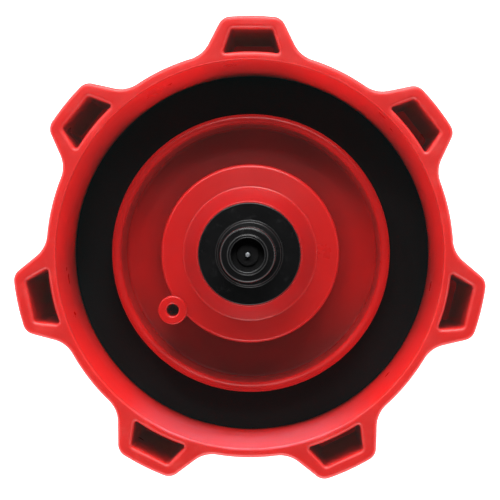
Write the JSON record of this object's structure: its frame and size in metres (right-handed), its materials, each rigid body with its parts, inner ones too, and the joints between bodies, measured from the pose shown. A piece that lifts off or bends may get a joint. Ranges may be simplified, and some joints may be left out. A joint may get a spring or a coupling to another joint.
{
  "type": "vented filler cap",
  "caption": "Lugged twist-on filler cap with a flat gasket, plug ring and a central two-way vent valve, seen on its open side.",
  "frame": {"origin": "centre of the outer face, on the cap's axis", "axes": "+Z along the cap's axis out of its open side, +Y through the middle of one grip lug"},
  "size_m": [0.1588, 0.1553, 0.0604],
  "materials": {
    "red_plastic": "glossy injection-moulded polyethylene",
    "gasket_rubber": "matte",
    "black_plastic": "satin gloss",
    "seal_rubber": "smooth",
    "natural_plastic": "natural acetal",
    "steel": "drawn stainless"
  },
  "bodies": {
    "cap": {"cap_body": "red_plastic", "gasket": "gasket_rubber", "valve_housing": "black_plastic", "housing_seal": "seal_rubber", "retaining_nut": "black_plastic", "pressure_spring": "steel", "spring_retainer": "natural_plastic", "dust_screen": "steel", "vent_cover": "black_plastic"},
    "pressure_valve": {"pressure_plate": "natural_plastic", "pressure_seal": "seal_rubber", "vacuum_spring": "steel"},
    "vacuum_valve": {"vacuum_disc": "seal_rubber", "vacuum_pin": "steel", "pin_clip": "steel"}
  },
  "joints": [
    {"name": "pressure_relief", "type": "slide", "parent": "cap", "child": "pressure_valve", "axis": [0, 0, -1], "range_m": [0, 0.003], "stiffness_N_per_m": 500, "springref_m": -0.002, "deforming": ["pressure_spring"]},
    {"name": "vacuum_relief", "type": "slide", "parent": "pressure_valve", "child": "vacuum_valve", "axis": [0, 0, 1], "range_m": [0, 0.0015], "stiffness_N_per_m": 60, "springref_m": -0.001, "deforming": ["vacuum_spring"]}
  ]
}
